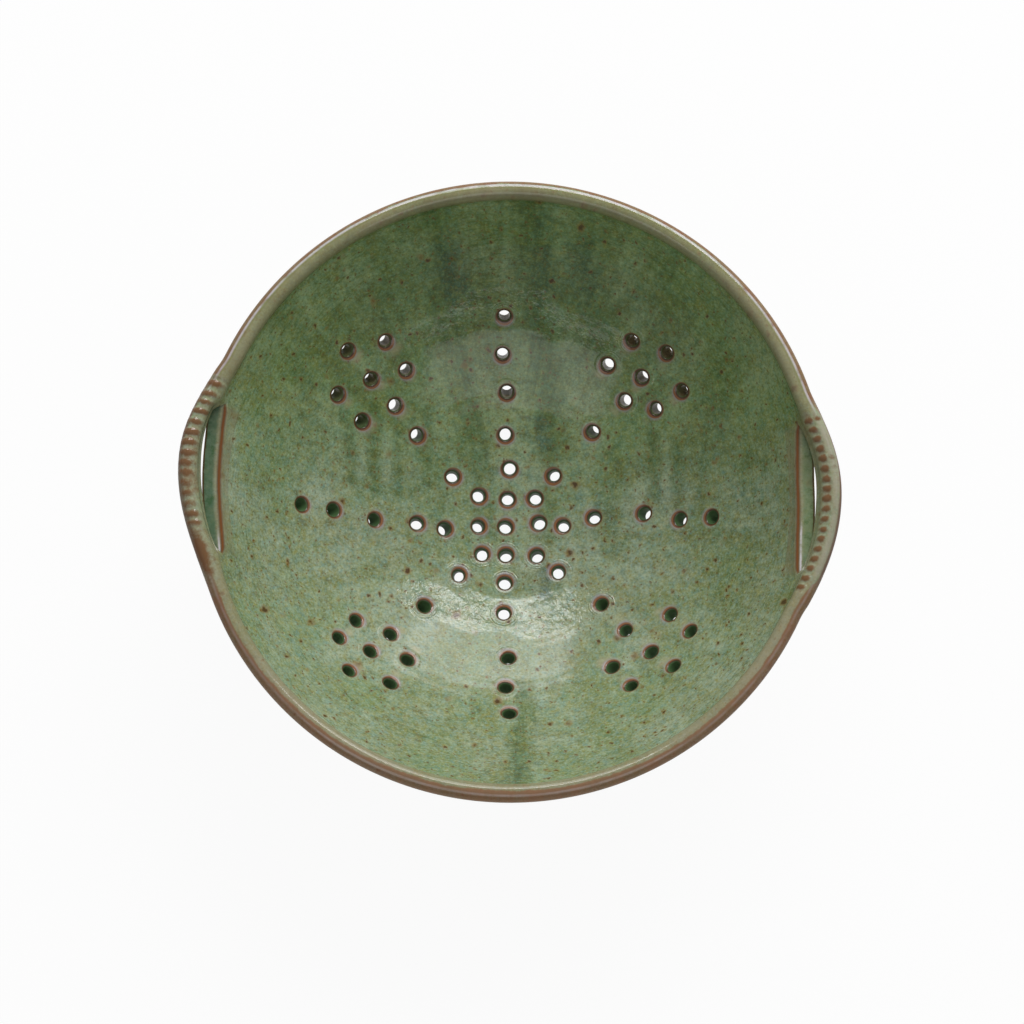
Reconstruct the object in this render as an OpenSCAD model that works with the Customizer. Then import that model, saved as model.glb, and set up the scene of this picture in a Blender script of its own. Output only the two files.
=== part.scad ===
// Berry colander bowl, hand thrown in stoneware: a round bowl on a foot ring, drilled with a star of
// drain holes, with a strap handle on each side. Each strap is a stretch of the rim that is cut free of
// the wall below it, pressed with a row of beads and pushed outward.
// The origin is on the table under the middle of the bowl, +X runs through the right handle, +Z is up.

/* [Bowl] */
// Outer diameter of the rolled rim
rim_d = 200; // [160:1:240]
// Depth of the inside, from the crest of the rim to the bottom
depth = 60; // [50:0.5:75]
// Thickness of the floor at its middle
floor_t = 5; // [4:0.5:8]
// Thickness of the wall where the handles are cut free, measured level
wall_t = 4.2; // [3:0.1:6]
// Width of the rolled rim, which is round on top
lip_w = 6; // [5:0.5:8]
// Height of the rim's band, from the crest down to the cut that frees a handle
band_h = 6.5; // [5.5:0.5:10]

/* [Foot] */
// Outer diameter of the foot ring
foot_d = 79; // [66:1:84]
// Width of the foot ring
foot_w = 4.3; // [3:0.1:6]
// Height of the floor's underside above the table, at its middle
foot_lift = 5; // [3:0.5:10]
// How much the foot ring narrows from its seat to the table, on its outer side
foot_draft = 0.5; // [0:0.1:1.2]
// Bevel on the two edges that meet the table
foot_bevel = 0.6; // [0.3:0.1:1]

/* [Handles] */
// How far the middle of a strap is pushed out beyond the round of the rim
handle_bulge = 4.8; // [2:0.1:8]
// Angle from the middle of a handle to each of its roots
handle_reach = 24; // [20:0.5:30]
// Angle from the middle of a handle to each end of its slot
slot_reach = 15.2; // [12:0.1:18]
// Angle from the middle of a handle to where the strap stands clear of the wall
free_reach = 11; // [8:0.5:12]
// Angle by which the highest point of the bulge is off the middle of its handle
bulge_lean = -2.5; // [-4:0.5:4]
// How far the wall's edge dips in the middle of the slot
slot_dip = 2; // [1:0.1:4]
// Number of beads pressed into a strap
bead_count = 18; // [8:1:20]
// Distance from one bead to the next
bead_pitch = 3.3; // [2.4:0.1:3.5]
// Depth of the grooves between the beads
bead_depth = 0.5; // [0.2:0.1:1]
// Angle by which the row of beads is off the middle of its handle
bead_lean = -3; // [-4:0.5:4]

/* [Drain holes] */
// Diameter of a drain hole
hole_d = 3.7; // [2.5:0.1:4.5]
// Width of the softened edge round a hole's mouth inside the bowl
mouth_soft = 0.9; // [0.3:0.1:1.2]
// Width of the softened edge round a hole's way out under the bowl
back_soft = 0.3; // [0.1:0.1:0.6]
// Least distance on the inner wall from the foot ring's sides to the middle of an arm's hole
foot_clear = 5; // [4.5:0.1:6]
// Distance from one hole to the next on an arm, outside the foot ring
arm_pitch = 11; // [9:0.1:12]
// Distance from the foot ring's outer side to the third hole of a diagonal
diagonal_clear = 2; // [1.8:0.1:4]
// Distance from the bowl's axis to the middle of a rosette
rosette_r = 63.7; // [60:0.1:68]
// Distance from the middle of a rosette to its petals
petal_r = 11.5; // [9:0.1:12]
// How far a hole may stray from its true place, because each one is drilled by eye
hand_stray = 2; // [0:0.1:2]

/* [Hidden] */

// Fineness of round surfaces, and of a drain hole
$fn = 144;
hole_fn = 24;
// Overrun that carries a cut clear of what it cuts
over = 1;

// Heights and radii of the bowl
floor_z = foot_lift + floor_t;
height = floor_z + depth;
cut_z = height - band_h;
lip_r = lip_w / 2;
lip_z = height - lip_r;
crest_r = rim_d / 2 - lip_r;

// The inside is part of a sphere through the bottom and the crest
in_r = (pow(crest_r, 2) + pow(depth, 2)) / (2 * depth);
in_z = floor_z + in_r;
cut_in_r = round_at(in_r, in_z, cut_z);

// The outside is part of a sphere through the floor's underside and the wall's outer edge at the cut
cut_out_r = cut_in_r + wall_t;
cut_rise = cut_z - foot_lift;
out_r = (pow(cut_out_r, 2) + pow(cut_rise, 2)) / (2 * cut_rise);
out_z = foot_lift + out_r;

// The foot ring seats on a flat band under the bowl
foot_out_r = foot_d / 2;
foot_in_r = foot_out_r - foot_w;
foot_mid_r = foot_out_r - foot_w / 2;
seat_z = out_z - sqrt(pow(out_r, 2) - pow(foot_mid_r, 2));
pad_h = floor_t / 2;

// Radius of a sphere, which has its middle at height mid, at height z
function round_at(r, mid, z) = sqrt(pow(r, 2) - pow(mid - z, 2));

// Rolled rim: a round that meets both sides of the wall just above the cut
crest_steps = 11;
lip_rise = lip_z - cut_z;

// Turn round the rim's round, from straight out through the top, to where it meets a sphere of the wall
function meeting_turn(r, mid, side) =
    let (gap = norm([crest_r, mid - lip_z]))
    let (swing = acos((pow(gap, 2) + pow(lip_r, 2) - pow(r, 2)) / (2 * gap * lip_r)))
    atan2(mid - lip_z, -crest_r) + swing + side;
inner_turn = meeting_turn(in_r, in_z, 0);
outer_turn = meeting_turn(out_r, out_z, -360);
function crest_point(turn, groove) =
    let (r = lip_r - (sin(turn) > 0 ? groove * pow(sin(turn), 2) : 0))
    [crest_r + r * cos(turn), lip_z + r * sin(turn)];
function band_outline(groove) = concat(
    [[cut_in_r, cut_z]],
    [
        for (i = [0:crest_steps])
            crest_point(inner_turn + (outer_turn - inner_turn) * i / crest_steps, groove)
    ],
    [[cut_out_r, cut_z]]
);

// Strap: the rim's outline swept round from root to root, and pushed out
function ease(t) = let (s = min(max(t, 0), 1)) s * s * (3 - 2 * s);
function bulge_at(a) =
    let (side = a > bulge_lean ? handle_reach - bulge_lean : handle_reach + bulge_lean)
    handle_bulge * pow(cos(90 * (a - bulge_lean) / side), 2);
function freed_at(a) = 1 - ease((abs(a) - free_reach) / (slot_reach - free_reach));
function push_at(a, z) =
    let (rise = ease((z - cut_z) / lip_rise), freed = freed_at(a))
    bulge_at(a) * (freed + (1 - freed) * rise);

// Grooves between the beads, and the steps that follow them
bead_step = bead_pitch / (rim_d / 2) * 180 / PI;
steps_per_bead = 4;
ring_step = bead_step / steps_per_bead;
ring_low = ceil((-handle_reach - bead_lean) / ring_step + 0.5);
ring_high = floor((handle_reach - bead_lean) / ring_step - 0.5);
strap_angles = concat(
    [-handle_reach],
    [for (k = [ring_low:ring_high]) bead_lean + k * ring_step],
    [handle_reach]
);
function bead_phase(a) = (a - bead_lean) / bead_step + bead_count / 2;
function groove_at(a) =
    let (phase = bead_phase(a))
    phase < -0.5 || phase > bead_count + 0.5 ? 0 : bead_depth * pow(cos(180 * phase), 4);
function strap_ring(a) = [
    for (p = band_outline(groove_at(a)))
        let (r = p[0] + push_at(a, p[1]))
        [r * cos(a), r * sin(a), p[1]]
];

// Drain holes: radii along an arm and along a diagonal, on the inner wall
inner_pitch = (foot_in_r - foot_clear) / 3;
arm_radii = concat(
    [for (k = [1:3]) k * inner_pitch],
    [for (k = [0:2]) foot_out_r + foot_clear + k * arm_pitch]
);
diagonal_first = sqrt(2) * inner_pitch;
diagonal_radii = [diagonal_first, diagonal_first + inner_pitch, foot_out_r + diagonal_clear];

// Each arm, from the right round to the near side: its angle, and how far each hole strays outward and round
arm_angles = [1, 94, 183, 270];
arm_stray_shares = [
    [[-0.25, 0], [-1.25, -0.5], [-1.25, 0.75], [-0.25, 1], [0, -0.5], [-0.5, -0.75]],
    [[-1, 0.25], [-1, -0.25], [-0.5, 0.25], [-1, -0.25], [-0.75, 0.25], [-0.75, -0.25]],
    [[0.25, 0.5], [0.75, 1], [0.25, 0.25], [0, 0], [1, -1], [0.5, -1.25]],
    [[0.5, -0.5], [0.25, -0.5], [0.5, -0.5], [1.25, 0.5], [1, 0.25], [0.25, 1]]
];
diagonal_angles = [49, 141, 229, 316];
diagonal_stray_shares = [
    [[-1.25, -0.25], [-1.5, 0], [-0.75, 0]],
    [[-0.25, 0], [0, 0.5], [0, -0.5]],
    [[0, 0.25], [0.25, 0], [-0.5, -0.25]],
    [[0, -0.75], [-0.5, -0.25], [0, 0.75]]
];
// Each rosette: its angle, how far it strays outward, its own turn, and how far each petal strays
rosette_angles = [48, 138, 228, 316];
rosette_stray_shares = [-0.75, -0.25, 0.5, 0.75];
rosette_turns = [-2, 1, 4, -1];
petal_stray_shares = [
    [[-0.75, -0.5], [0, 0.25], [0.25, -0.75], [-1.5, 0.5], [-0.25, 1], [1.25, -1]],
    [[-0.5, -0.25], [0.25, 1.25], [1, 0], [-0.5, 0], [0.25, 0.25], [0.5, -1]],
    [[-0.75, 0], [0.5, 1.25], [0.25, 0], [-1.25, -0.25], [0, 0.5], [-0.5, -1]],
    [[-1.25, 0.5], [1, 1.5], [1.25, -1.25], [0, 0], [0.75, 0.75], [0.75, -1.5]]
];

function toward(r, a) = [r * cos(a), r * sin(a)];
// A place at radius r and angle a, which strays outward and round by two shares of hand_stray
function strayed(r, a, shares) =
    toward(r + hand_stray * shares[0], a) + toward(hand_stray * shares[1], a + 90);
hole_places = concat(
    [[0, 0] - hand_stray * [0.75, 0.75]],
    [for (i = [0:3], k = [0:5]) strayed(arm_radii[k], arm_angles[i], arm_stray_shares[i][k])],
    [for (i = [0:3], k = [0:2]) strayed(diagonal_radii[k], diagonal_angles[i], diagonal_stray_shares[i][k])],
    [for (i = [0:3]) rosette_middle(i)],
    [for (i = [0:3], k = [0:5]) rosette_middle(i) + petal_place(i, k)]
);
function rosette_middle(i) = strayed(rosette_r, rosette_angles[i], [rosette_stray_shares[i], 0]);
function petal_place(i, k) =
    strayed(petal_r, rosette_angles[i] + rosette_turns[i] + 60 * k, petal_stray_shares[i][k]);

// Thickness of the wall straight through it, where it leans by an angle from the bowl's axis
function wall_at(lean) =
    let (gap = in_z - out_z, along = in_r - gap * cos(lean))
    let (off = pow(in_r, 2) + pow(gap, 2) - 2 * in_r * gap * cos(lean) - pow(out_r, 2))
    sqrt(pow(along, 2) - off) - along;

// Wall of the bowl, up into the rim, from two spheres that lie on their sides with their poles above it
module shell() {
    difference() {
        translate([0, 0, out_z]) rotate([0, -90, 0]) sphere(r = out_r);
        translate([0, 0, in_z]) rotate([0, -90, 0]) sphere(r = in_r);
        translate([0, 0, lip_z]) cylinder(r = out_r + over, h = 2 * out_r);
    }
}

// Rolled rim, all the way round
module rim() {
    rotate_extrude()
        translate([crest_r, lip_z])
            circle(r = lip_r);
}

// Space that a strap takes out of the rim, above the cut and from root to root
module strap_space() {
    rotate([0, 0, -handle_reach])
        rotate_extrude(angle = 2 * handle_reach)
            translate([cut_in_r - lip_w, cut_z])
                square([3 * lip_w, band_h + over]);
}

// Ring between two radii and two heights
module ring(r_in, r_out, z_low, z_high) {
    rotate_extrude()
        polygon([[r_in, z_low], [r_out, z_low], [r_out, z_high], [r_in, z_high]]);
}

// Crescents that dip into the wall's edge under both straps, as one round cut along X
module slot_dips() {
    half = cut_out_r * sin(slot_reach);
    dip_r = (pow(half, 2) + pow(slot_dip, 2)) / (2 * slot_dip);
    intersection() {
        translate([0, 0, cut_z - slot_dip + dip_r])
            rotate([0, 90, 0])
                cylinder(r = dip_r, h = rim_d, center = true);
        translate([-rim_d / 2, -half - over, cut_z - slot_dip - over])
            cube([rim_d, 2 * (half + over), slot_dip + 2 * over]);
    }
}

// One drain hole at a place on the inner wall, drilled square to the wall, with both edges softened
module drain_hole(place) {
    lean = asin(norm(place) / in_r);
    wall = wall_at(lean);
    hole_r = hole_d / 2;
    translate([0, 0, in_z])
        rotate([0, -lean, atan2(place[1], place[0])])
            translate([0, 0, -in_r])
                rotate_extrude($fn = hole_fn)
                    polygon([
                        [0, over],
                        [hole_r + mouth_soft + over, over],
                        [hole_r, -mouth_soft],
                        [hole_r, back_soft - wall],
                        [hole_r + back_soft + over, -wall - over],
                        [0, -wall - over]
                    ]);
}

module bowl() {
    color([0.5, 0.59, 0.47])
        difference() {
            union() {
                shell();
                rim();
                ring(foot_in_r, foot_out_r, seat_z, seat_z + pad_h);
            }
            ring(foot_in_r, foot_out_r, foot_lift, seat_z);
            strap_space();
            rotate([0, 0, 180]) strap_space();
            slot_dips();
            for (place = hole_places) drain_hole(place);
        }
}

module foot_ring() {
    color([0.55, 0.4, 0.3])
        rotate_extrude()
            polygon([
                [foot_in_r, seat_z],
                [foot_in_r, foot_bevel],
                [foot_in_r + foot_bevel, 0],
                [foot_out_r - foot_draft - foot_bevel, 0],
                [foot_out_r - foot_draft, foot_bevel],
                [foot_out_r, seat_z]
            ]);
}

// Strap handle on the +X side, as rings of the rim's outline joined by triangles
module strap() {
    rings = [for (a = strap_angles) strap_ring(a)];
    around = len(rings[0]);
    last = len(rings) - 1;
    sides = [
        for (i = [0:last - 1], k = [0:around - 1])
            let (low = i * around, high = low + around, next = (k + 1) % around)
            each [[low + k, low + next, high + k], [low + next, high + next, high + k]]
    ];
    ends = [
        [for (k = [around - 1:-1:0]) k],
        [for (k = [0:around - 1]) last * around + k]
    ];
    polyhedron(points = [for (ring = rings) each ring], faces = concat(sides, ends));
}

module left_handle() {
    color([0.58, 0.52, 0.42]) rotate([0, 0, 180]) strap();
}

module right_handle() {
    color([0.58, 0.52, 0.42]) strap();
}

bowl();
foot_ring();
left_handle();
right_handle();
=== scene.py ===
import math

import bmesh
import bpy
import numpy as np
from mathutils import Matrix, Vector
from mathutils.geometry import delaunay_2d_cdt


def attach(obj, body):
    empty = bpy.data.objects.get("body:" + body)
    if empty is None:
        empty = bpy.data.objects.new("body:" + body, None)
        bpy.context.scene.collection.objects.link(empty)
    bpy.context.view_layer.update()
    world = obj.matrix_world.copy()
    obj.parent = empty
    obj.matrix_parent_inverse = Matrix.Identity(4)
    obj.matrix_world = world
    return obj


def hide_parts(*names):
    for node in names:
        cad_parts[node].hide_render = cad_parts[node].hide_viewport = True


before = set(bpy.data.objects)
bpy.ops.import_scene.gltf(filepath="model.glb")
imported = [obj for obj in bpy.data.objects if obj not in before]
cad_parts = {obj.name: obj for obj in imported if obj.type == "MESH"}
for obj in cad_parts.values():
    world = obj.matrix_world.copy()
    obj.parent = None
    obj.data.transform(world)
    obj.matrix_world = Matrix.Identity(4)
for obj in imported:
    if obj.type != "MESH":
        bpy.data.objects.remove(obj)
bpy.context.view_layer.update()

# Sizes below are in millimetres, as in the part's source, and go into Blender as metres
MM = 0.001

# Bowl
RIM_R = 100.0
DEPTH = 60.0
FLOOR_T = 5.0
WALL_T = 4.2
LIP_R = 3.0
BAND_H = 6.5
FOOT_LIFT = 5.0
FLOOR_Z = FOOT_LIFT + FLOOR_T
HEIGHT = FLOOR_Z + DEPTH
CUT_Z = HEIGHT - BAND_H
LIP_Z = HEIGHT - LIP_R
CREST_R = RIM_R - LIP_R
IN_R = (CREST_R**2 + DEPTH**2) / (2 * DEPTH)
IN_Z = FLOOR_Z + IN_R
CUT_IN_R = math.sqrt(IN_R**2 - (IN_Z - CUT_Z) ** 2)
CUT_OUT_R = CUT_IN_R + WALL_T
CUT_RISE = CUT_Z - FOOT_LIFT
OUT_R = (CUT_OUT_R**2 + CUT_RISE**2) / (2 * CUT_RISE)
OUT_Z = FOOT_LIFT + OUT_R

# Foot
FOOT_OUT_R = 39.5
FOOT_IN_R = 35.2
FOOT_DRAFT = 0.5
FOOT_BEVEL = 0.6
FOOT_COLUMNS = 288

# Handles
HANDLE_REACH = 24.0
SLOT_REACH = 15.2
SLOT_DIP = 2.0
STRAP_COLUMNS = 321
BEAD_COUNT = 18
BEAD_PITCH = 3.3
BEAD_STEP = math.degrees(BEAD_PITCH / RIM_R)
LEFT_BEAD_DEPTH = 0.42
RIGHT_BEAD_DEPTH = 0.45
LEFT_BEAD_LEAN = -5.0
RIGHT_BEAD_LEAN = -1.6

# Drain holes
HOLE_R = 1.85
MOUTH_SOFT = 0.9
BACK_SOFT = 0.3
HAND_STRAY = 2.0
FOOT_CLEAR = 5.0
ARM_PITCH = 11.0
DIAGONAL_CLEAR = 2.0
ROSETTE_R = 63.7
PETAL_R = 11.5
HOLE_SIDES = 32
MOUTH_STEPS = 7

# Columns round the wall, and how many of them a handle reaches to each side
COLUMNS = 480
REACH_COLUMNS = round(HANDLE_REACH / 360 * COLUMNS)
# Height where the band begins, and its rows up to the knife's cut, over the crest, and across the cut
BAND_LOW_Z = 57.0
WALL_ROWS = 8
CREST_ROWS = 48
ACROSS_ROWS = 10
# Width of the triangles inside and outside, and the rings of points round each hole
INNER_CELL = 1.05
OUTER_CELL = 1.9
INNER_RINGS = [3.0, 3.3, 3.6, 3.95, 4.35, 4.8]
OUTER_RINGS = [2.7, 3.4]
# Step of a finely sampled outline, and the turn in degrees from which an edge shows as an edge
FINE_STEP = 0.05
EDGE_TURN = 48


def ease(t):
    t = np.clip(t, 0, 1)
    return t * t * (3 - 2 * t)


def bump_at(x, middle, width):
    return np.exp(-(((x - middle) / width) ** 2))


def full_turn(n):
    """So many angles, evenly all the way round."""
    return np.arange(n) * 2 * math.pi / n


def laid_flat(way, a):
    return np.stack([way * np.cos(a), way * np.sin(a)], 1)


def ball_r(radius, middle, z):
    """Distance from the axis of a ball's surface at height z."""
    return np.sqrt(radius**2 - (middle - z) ** 2)


# Places of the drain holes


def toward(r, a):
    a = math.radians(a)
    return np.array([r * math.cos(a), r * math.sin(a)])


def strayed(r, a, shares):
    return toward(r + HAND_STRAY * shares[0], a) + toward(HAND_STRAY * shares[1], a + 90)


def hole_places():
    """The eight-armed star and its four rosettes. Gives each drain hole's middle on the inner wall, seen
    from above, and how far the outer end of its bore leans outward from square, in millimetres. The strays
    are shares of HAND_STRAY along and across the arm."""
    step = (FOOT_IN_R - FOOT_CLEAR) / 3
    arm_radii = [step, 2 * step, 3 * step] + [FOOT_OUT_R + FOOT_CLEAR + ARM_PITCH * k for k in range(3)]
    diagonal_radii = [math.sqrt(2) * step, (math.sqrt(2) + 1) * step, FOOT_OUT_R + DIAGONAL_CLEAR]
    arms = {
        1: [(-0.25, 0), (-1.25, -0.5), (-1.25, 0.75), (-0.25, 1), (0, -0.5), (-0.5, -0.75)],
        94: [(-1, 0.25), (-1, -0.25), (-0.5, 0.25), (-1, -0.25), (-0.75, 0.25), (-0.75, -0.25)],
        183: [(0.25, 0.5), (0.75, 1), (0.25, 0.25), (0, 0), (1, -1), (0.5, -1.25)],
        270: [(0.5, -0.5), (0.25, -0.5), (0.5, -0.5), (1.25, 0.5), (1, 0.25), (0.25, 1)],
    }
    arm_leans = {
        1: [0, -0.6, -1, 0.7, 0.9, 1.2], 94: [0, 0, 0, 1.9, 0, 0.5],
        183: [0, 0.8, -1, 1.6, 1.6, 1.5], 270: [0, -1.2, -1.8, 0.8, 0.5, 0.5],
    }
    diagonals = {
        49: [(-1.25, -0.25), (-1.5, 0), (-0.75, 0)],
        141: [(-0.25, 0), (0, 0.5), (0, -0.5)],
        229: [(0, 0.25), (0.25, 0), (-0.5, -0.25)],
        316: [(0, -0.75), (-0.5, -0.25), (0, 0.75)],
    }
    diagonal_leans = {49: [-0.3, 0, 1.3], 141: [0, -0.7, 0.6], 229: [-1, -1.3, 2.0], 316: [0, -1.2, 1.6]}
    rosettes = [
        (48, -0.75, -2, [(-0.75, -0.5), (0, 0.25), (0.25, -0.75), (-1.5, 0.5), (-0.25, 1), (1.25, -1)]),
        (138, -0.25, 1, [(-0.5, -0.25), (0.25, 1.25), (1, 0), (-0.5, 0), (0.25, 0.25), (0.5, -1)]),
        (228, 0.5, 4, [(-0.75, 0), (0.5, 1.25), (0.25, 0), (-1.25, -0.25), (0, 0.5), (-0.5, -1)]),
        (316, 0.75, -1, [(-1.25, 0.5), (1, 1.5), (1.25, -1.25), (0, 0), (0.75, 0.75), (0.75, -1.5)]),
    ]
    rosette_leans = [
        [0.9, 1.6, 1.6, 0, 0.2, 0.4, 1.6], [1.5, 1.2, 1.3, 2, 0.2, 0.8, 0.8], [0.6] * 7, [0.6] * 7,
    ]
    places = [np.array([-1.5, -1.5])]
    leans = [0.0]
    for radii, lines, given in ((arm_radii, arms, arm_leans), (diagonal_radii, diagonals, diagonal_leans)):
        for angle, strays in lines.items():
            places += [strayed(r, angle, shares) for r, shares in zip(radii, strays)]
            leans += given[angle]
    for (angle, out, turn, petals), given in zip(rosettes, rosette_leans):
        middle = strayed(ROSETTE_R, angle, (out, 0))
        places.append(middle)
        places += [middle + strayed(PETAL_R, angle + turn + 60 * k, petals[k]) for k in range(6)]
        leans += given
    return places, leans


HOLES, LEANS = hole_places()
STAR_COUNT = 37

# Outlines


def smoothed(points, steps, closed=False):
    """A finely sampled outline with its corners softened over so many samples."""
    reach = 4 * steps
    weights = np.exp(-0.5 * (np.arange(-reach, reach + 1) / steps) ** 2)
    weights /= weights.sum()
    if closed:
        padded = np.concatenate([points[-reach:], points, points[:reach]])
    else:
        head = 2 * points[0] - points[reach:0:-1]
        tail = 2 * points[-1] - points[-2 : -reach - 2 : -1]
        padded = np.concatenate([head, points, tail])
    return np.stack([np.convolve(padded[:, k], weights, "valid") for k in range(2)], 1)


def along(points):
    return np.concatenate([[0], np.cumsum(np.linalg.norm(np.diff(points, axis=0), axis=1))])


def sampled(points, places):
    way = along(points)
    return np.stack([np.interp(places, way, points[:, k]) for k in range(2)], 1)


def meeting_turn(radius, middle, side):
    gap = math.hypot(CREST_R, middle - LIP_Z)
    swing = math.acos((gap**2 + LIP_R**2 - radius**2) / (2 * gap * LIP_R))
    return math.atan2(middle - LIP_Z, -CREST_R) + swing + side


def rim_outline():
    """The rim's outline from the inner wall over the crest to the outer wall, and the way along it from the
    top of the crest. The knife's cut is at two of its points."""
    inner_turn = meeting_turn(IN_R, IN_Z, 0)
    outer_turn = meeting_turn(OUT_R, OUT_Z, -2 * math.pi)
    low = BAND_LOW_Z - 3.0
    rise = np.linspace(low, LIP_Z + LIP_R * math.sin(inner_turn), 400)
    turns = np.linspace(inner_turn, outer_turn, 600)
    drop = np.linspace(LIP_Z + LIP_R * math.sin(outer_turn), low, 400)
    line = np.concatenate(
        [
            np.stack([ball_r(IN_R, IN_Z, rise), rise], 1),
            np.stack([CREST_R + LIP_R * np.cos(turns), LIP_Z + LIP_R * np.sin(turns)], 1)[1:],
            np.stack([ball_r(OUT_R, OUT_Z, drop), drop], 1)[1:],
        ]
    )
    way = along(line)
    even = sampled(line, np.arange(0, way[-1], FINE_STEP))
    corner = float(way[len(rise) - 1])
    gentle = bump_at(np.arange(len(even)) * FINE_STEP, corner - 0.6, 3.0)[:, None]
    soft = smoothed(even, 10) * (1 - gentle) + smoothed(even, 24) * gentle
    way = along(soft)
    top = int(np.argmax(soft[:, 1]))
    in_low, in_cut = (np.interp(z, soft[:top, 1], way[:top]) for z in (BAND_LOW_Z, CUT_Z))
    out_cut, out_low = (np.interp(-z, -soft[top:, 1], way[top:]) for z in (CUT_Z, BAND_LOW_Z))
    stops = np.concatenate(
        [
            np.linspace(in_low, in_cut, WALL_ROWS + 1)[:-1],
            np.linspace(in_cut, out_cut, CREST_ROWS + 1)[:-1],
            np.linspace(out_cut, out_low, WALL_ROWS + 1),
        ]
    )
    return sampled(soft, stops), stops - way[top]


OUTLINE, LIP_WAY = rim_outline()
BAND = OUTLINE[WALL_ROWS : WALL_ROWS + CREST_ROWS + 1]
BAND_WAY = LIP_WAY[WALL_ROWS : WALL_ROWS + CREST_ROWS + 1]

# How the wet clay was pushed


def bulge_at(turn, left):
    """Push of a strap at an angle in degrees from the middle of its handle. Each was pushed out by hand, so
    the left one and the right one differ."""
    lean = np.where(left, -4.2, 0.6)
    below, above = np.where(left, 21.5, 25.0), np.where(left, 26.6, 19.3)
    top, power = np.where(left, 5.1, 4.5), np.where(left, 2.0, 1.35)
    swing = np.clip((turn - lean) / np.where(turn > lean, above, below), -1, 1)
    return top * np.cos(np.pi / 2 * swing) ** power * ease((HANDLE_REACH - np.abs(turn)) / 4)


# Pushes drawn at angles from the middle of a handle: of the wall's edge, which sinks inward where
# the strap was pulled off it, and of the strap's lower inner edge beyond its bulge
EDGE_TURNS = [-24, -19, -15, -12, -8, -4, 0, 4, 8, 12, 15, 19, 24]
LEFT_EDGE = [0, 0.5, 0.8, 0.95, 0.5, 0.4, 0.15, -0.2, -0.6, -0.7, -0.7, -0.1, 0]
RIGHT_EDGE = [0, 0.6, 0.9, 0.3, -0.55, -0.75, -1, -1.25, -0.9, -0.3, 0.4, 0.2, 0]
LEFT_INNER = [0, 0.5, 0.8, 0.8, 0.1, -0.6, -0.8, -0.75, -0.4, -0.3, -0.8, -0.5, 0]
RIGHT_INNER = [0, -0.3, -0.5, -0.75, -1, -1.45, -1.6, -1.3, -1, -0.9, -1.1, -0.6, 0]


def drawn(turn, left, left_line, right_line):
    """A push that was drawn at EDGE_TURNS, with its corners softened."""
    near = np.asarray(turn, float)[..., None] + np.linspace(-2, 2, 9)
    left_push, right_push = (np.interp(near, EDGE_TURNS, line).mean(-1) for line in (left_line, right_line))
    return np.where(left, left_push, right_push)


def root_push(turn, left):
    return drawn(turn, left, LEFT_EDGE, RIGHT_EDGE)


def freed_at(turn):
    """1 where the knife freed the strap, and 0 in its roots."""
    return ease((SLOT_REACH + 0.3 - np.abs(turn)) / 2.4)


def strap_push(turn, left):
    """Push of a strap's lower inner edge and lower outer edge, where the knife freed it from the wall."""
    push = bulge_at(turn, left)
    inner = push + drawn(turn, left, LEFT_INNER, RIGHT_INNER)
    root = root_push(turn, left)
    return root + (inner - root) * freed_at(turn), root + (push - root) * freed_at(turn)


def dip_at(turn):
    """How far the wall's edge dips under a strap."""
    return SLOT_DIP * np.clip(1 - (np.abs(turn) / SLOT_REACH) ** 2, 0, 1)


def handle_turn(x, y):
    """Angle in degrees from the middle of the nearer handle, and whether that is the left one."""
    left = x < 0
    turn = np.degrees(np.arctan2(np.where(left, -y, y), np.where(left, -x, x)))
    return turn, left


def moved(points, out, up=0):
    """Points moved so far outward from the axis, and so far up."""
    x, y, z = points.T
    k = 1 + out / np.maximum(np.hypot(x, y), 1e-6)
    return np.stack([x * k, y * k, z + up], 1)


def hand_wobble(points):
    """The rim isn't quite round or level: it draws in and sinks a little here and there."""
    x, y, z = points.T
    a = np.arctan2(y, x)
    high = ease((z - 25) / 40)
    draw = 0.12 * (1 + np.sin(2 * a + 0.7)) * 0.5 + 0.08 * (1 + np.sin(3 * a - 1.1)) * 0.5
    sink = 0.16 * (1 + np.sin(2 * a - 0.4)) * 0.5 + 0.12 * (1 + np.sin(5 * a + 2.0)) * 0.5
    return moved(points, -high * draw, -high * sink)


def wall_pushed(points):
    """The wall goes out with the roots of the straps, and fades back below them."""
    x, y, z = points.T
    turn, left = handle_turn(x, y)
    push = root_push(turn, left) * ease(1 - (CUT_Z - z) / 18) ** 1.3 * ease(HANDLE_REACH - np.abs(turn))
    return moved(points, push)


def thrown(way, a):
    """Throwing rings and soft lumps of the inner wall, as a height toward the inside."""
    rings = 0.022 * np.sin(way * 1.21 + a + 0.6 * np.sin(2 * a)) + 0.012 * np.sin(way * 2.05 + a + 1.0)
    lumps = 0.10 * np.sin(way * 0.16 + 1.3 * np.sin(a + 0.6)) * np.sin(3 * a + 0.03 * way + 0.8)
    return (rings + lumps * ease(way / 30)) * ease((108 - way) / 14)
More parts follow.
